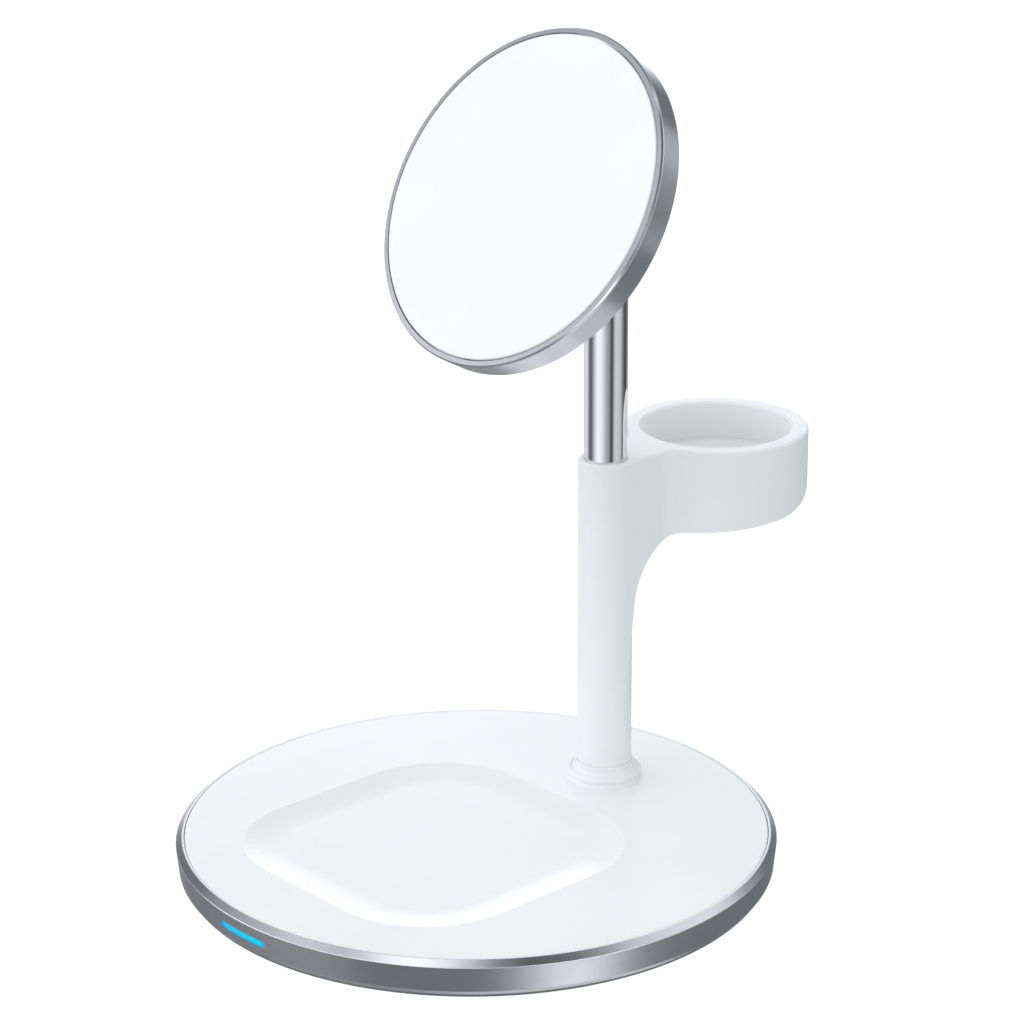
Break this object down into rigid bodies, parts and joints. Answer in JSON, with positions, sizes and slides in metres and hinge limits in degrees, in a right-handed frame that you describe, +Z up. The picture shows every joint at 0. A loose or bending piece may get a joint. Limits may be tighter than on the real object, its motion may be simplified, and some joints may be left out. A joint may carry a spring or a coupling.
{
  "type": "wireless charging stand",
  "caption": "Free-standing wireless charging stand: round base with a square earbud dish, tilting round phone head on a tube, and a watch cup on an arm behind it.",
  "frame": {"origin": "centre of the round base on the surface that it stands on", "axes": "+Z up, +Y towards the back (post and watch arm), -Y towards the user, +X to the user's right"},
  "size_m": [0.11, 0.1342, 0.1504],
  "materials": {
    "ring_metal": "satin anodised",
    "white_plastic": "fine satin",
    "white_soft": "soft-touch matte",
    "bright_metal": "polished",
    "joint_metal": "satin",
    "foot_rubber": "matte",
    "light_guide": "lit from behind",
    "steel": "plain",
    "board": "solder mask",
    "chips": "moulded",
    "copper": "enamelled wire",
    "ferrite": "matte",
    "lead_jacket": "matte",
    "ribbon_film": "film"
  },
  "bodies": {
    "stand": {"base_ring": "ring_metal", "top_plate": "white_plastic", "bottom_cover": "white_plastic", "foot_sheet": "foot_rubber", "light_bar": "light_guide", "light_board": "board", "light_chips": "white_plastic", "light_ribbon": "ribbon_film", "ballast_plate": "steel", "main_board": "board", "board_parts": "chips", "usb_socket": "steel", "earbud_coil": "copper", "earbud_ferrite": "ferrite", "base_screws": "steel", "post_collar": "white_plastic", "tube_nut": "steel", "post_shell": "white_plastic", "upright_tube": "bright_metal", "tube_lead": "lead_jacket", "hinge_tongue": "joint_metal", "friction_washers": "chips", "pivot_screws": "steel"},
    "head": {"head_fork": "joint_metal", "fork_screws": "steel", "head_back": "white_plastic", "head_rim": "ring_metal", "head_face": "white_soft", "magnet_ring": "steel", "magnet_yoke": "steel", "phone_coil": "copper", "phone_ferrite": "ferrite", "head_board": "board", "head_lead": "lead_jacket"}
  },
  "joints": [
    {"name": "head_tilt", "type": "hinge", "parent": "stand", "child": "head", "pos_m": [0, 0.0326, 0.1108], "axis": [-1, 0, 0], "range_deg": [-30, 40]}
  ]
}
